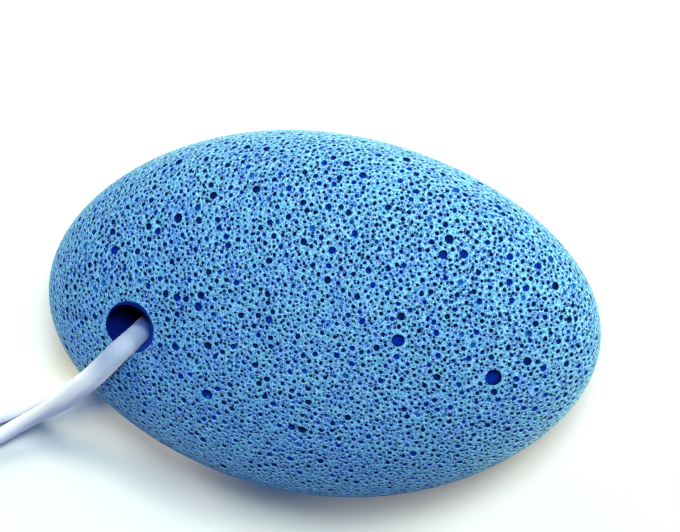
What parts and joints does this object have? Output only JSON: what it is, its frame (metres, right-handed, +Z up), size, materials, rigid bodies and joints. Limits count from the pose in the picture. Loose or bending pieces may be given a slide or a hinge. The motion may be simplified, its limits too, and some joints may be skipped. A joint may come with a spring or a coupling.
{
  "type": "pumice stone",
  "caption": "Oval pumice foot stone for smoothing hard skin, with a bore near one end that carries a knotted loop of soft cord to hold or hang it by.",
  "frame": {"origin": "middle of the stone's plan, on the surface that the stone lies on", "axes": "+X along the stone's long axis, away from the bore; +Y across the stone; +Z up through its thickness"},
  "size_m": [0.1537, 0.0698, 0.034],
  "materials": {
    "foamed_stone": "matte",
    "soft_cord": "matte"
  },
  "bodies": {
    "root": {"stone": "foamed_stone", "cord": "soft_cord", "knot": "soft_cord"}
  },
  "joints": []
}
